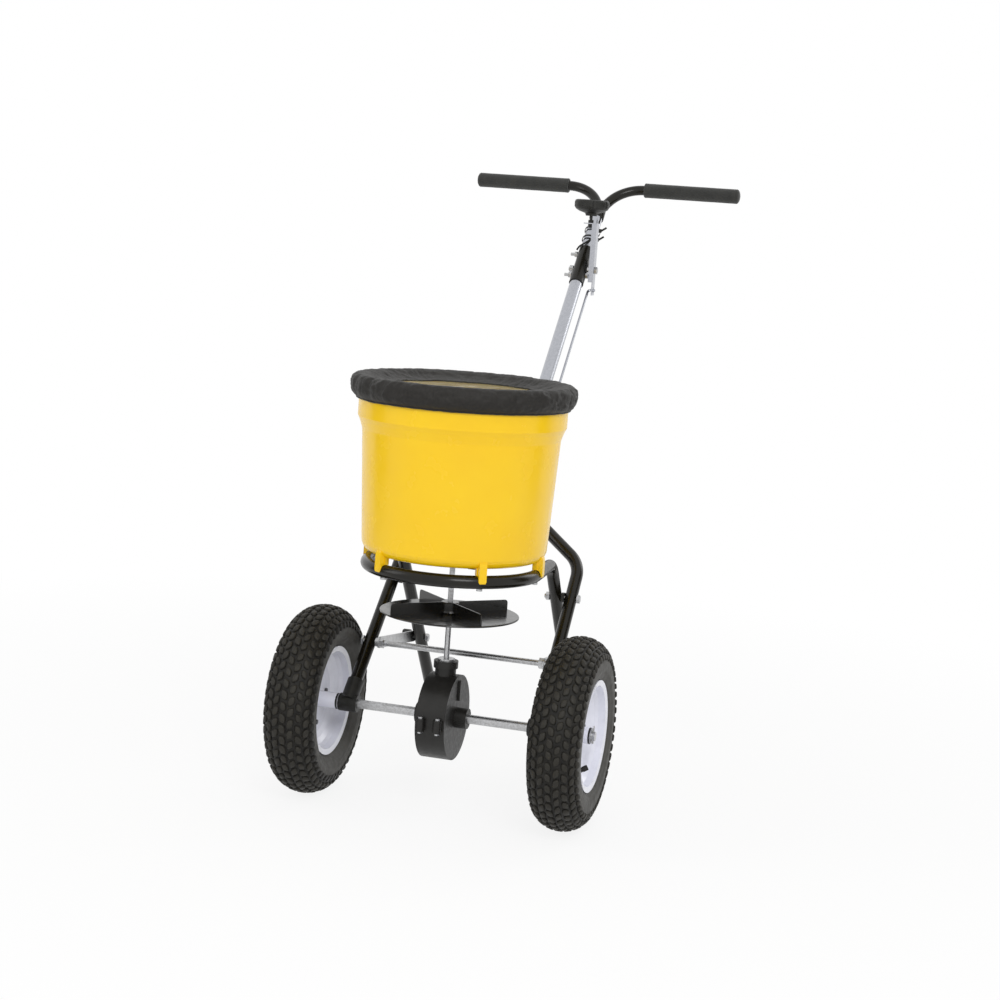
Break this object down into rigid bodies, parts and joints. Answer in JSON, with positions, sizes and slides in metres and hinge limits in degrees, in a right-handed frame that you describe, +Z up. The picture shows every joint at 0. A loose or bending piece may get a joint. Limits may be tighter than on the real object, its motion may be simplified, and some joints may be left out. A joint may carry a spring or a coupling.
{
  "type": "broadcast spreader",
  "caption": "Push garden broadcast spreader: round hopper with rain cover on a tube frame, finned spinner driven by the axle, handle lever works the shutter.",
  "frame": {"origin": "on the ground under the middle of the outline, between the wheels and the handle", "axes": "+X to the right along the axle, +Y towards the person who pushes, +Z up"},
  "size_m": [0.562, 1.1442, 1.1063],
  "materials": {
    "black_tube": "gloss black powder coat",
    "plated_tube": "bright plated steel",
    "zinc": "zinc-plated steel",
    "black_plastic": "moulded black plastic",
    "black_rubber": "black rubber",
    "tyre_rubber": "studded black tyre rubber",
    "white_steel": "white painted pressed steel",
    "dark_steel": "dark plated steel",
    "grey_plastic": "dark grey moulded plastic",
    "yellow_plastic": "glossy yellow polyethylene",
    "cream_plastic": "natural nylon",
    "gear_metal": "sintered steel, greased",
    "cover_fabric": "black woven nylon, gathered",
    "cover_vinyl": "clear flexible vinyl",
    "grip_foam": "matt black foam"
  },
  "bodies": {
    "frame": {"stand_hoop": "black_tube", "left_side_tube": "black_tube", "right_side_tube": "black_tube", "left_bearing_block": "black_plastic", "right_bearing_block": "black_plastic", "brace_rod": "zinc", "brace_nuts": "zinc", "leg_braces": "zinc", "leg_knobs": "black_plastic", "leg_bolts": "zinc", "crossing_bolts": "zinc", "crossing_spacers": "black_plastic", "left_foot": "black_rubber", "right_foot": "black_rubber", "hopper": "yellow_plastic", "hopper_screws": "zinc", "hopper_bush": "cream_plastic", "shutter_guides": "black_plastic", "lower_handle": "plated_tube", "handle_bolts": "zinc", "handle_coupling": "black_tube", "coupling_bolts": "zinc", "coupling_nuts": "zinc", "upper_handle": "plated_tube", "handlebar": "black_tube", "left_grip": "grip_foam", "right_grip": "grip_foam", "lever_pivot": "zinc", "gearbox_top": "grey_plastic", "gearbox_bottom": "grey_plastic", "gearbox_screws": "zinc", "neck_bush": "zinc", "tether_cord": "black_rubber", "cable_ties": "black_plastic"},
    "cover": {"rain_cover": "cover_fabric", "cover_window": "cover_vinyl"},
    "drive": {"axle": "zinc", "right_rim": "white_steel", "right_tyre": "tyre_rubber", "right_valve": "black_rubber", "right_rim_bolts": "dark_steel", "right_wheel_bushes": "grey_plastic", "axle_washers": "zinc", "cotter_pins": "zinc", "crown_gear": "gear_metal"},
    "left_wheel": {"left_rim": "white_steel", "left_tyre": "tyre_rubber", "left_valve": "black_rubber", "left_rim_bolts": "dark_steel", "left_wheel_bushes": "grey_plastic"},
    "spinner": {"spinner_shaft": "zinc", "pinion": "gear_metal", "impeller": "black_plastic", "impeller_pin": "zinc", "agitator": "zinc"},
    "lever": {"control_lever": "plated_tube", "control_knob": "black_plastic"},
    "gate": {"shutter_plate": "zinc", "control_rod": "plated_tube"}
  },
  "joints": [
    {"name": "axle_spin", "type": "hinge", "parent": "frame", "child": "drive", "pos_m": [0, -0.3805, 0.165], "axis": [1, 0, 0], "continuous": true},
    {"name": "left_wheel_spin", "type": "hinge", "parent": "frame", "child": "left_wheel", "pos_m": [-0.23, -0.3805, 0.165], "axis": [1, 0, 0], "continuous": true},
    {"name": "spinner_spin", "type": "hinge", "parent": "frame", "child": "spinner", "pos_m": [0, -0.3805, 0.344], "axis": [0, 0, 1], "continuous": true},
    {"name": "lever_turn", "type": "hinge", "parent": "frame", "child": "lever", "pos_m": [0.02, 0.3775, 0.92303], "axis": [1, 0, 0], "range_deg": [-18, 18]},
    {"name": "gate_slide", "type": "slide", "parent": "frame", "child": "gate", "axis": [0, 1, 0], "range_m": [-0.0131, 0.0131]},
    {"name": "cover_lift", "type": "slide", "parent": "frame", "child": "cover", "axis": [0, 0, 1], "range_m": [0, 0.2]}
  ],
  "couplings": [
    {"joint": "spinner_spin", "follows": "axle_spin", "ratio": 6},
    {"joint": "gate_slide", "follows": "lever_turn", "m_per_rad": 0.04138}
  ]
}
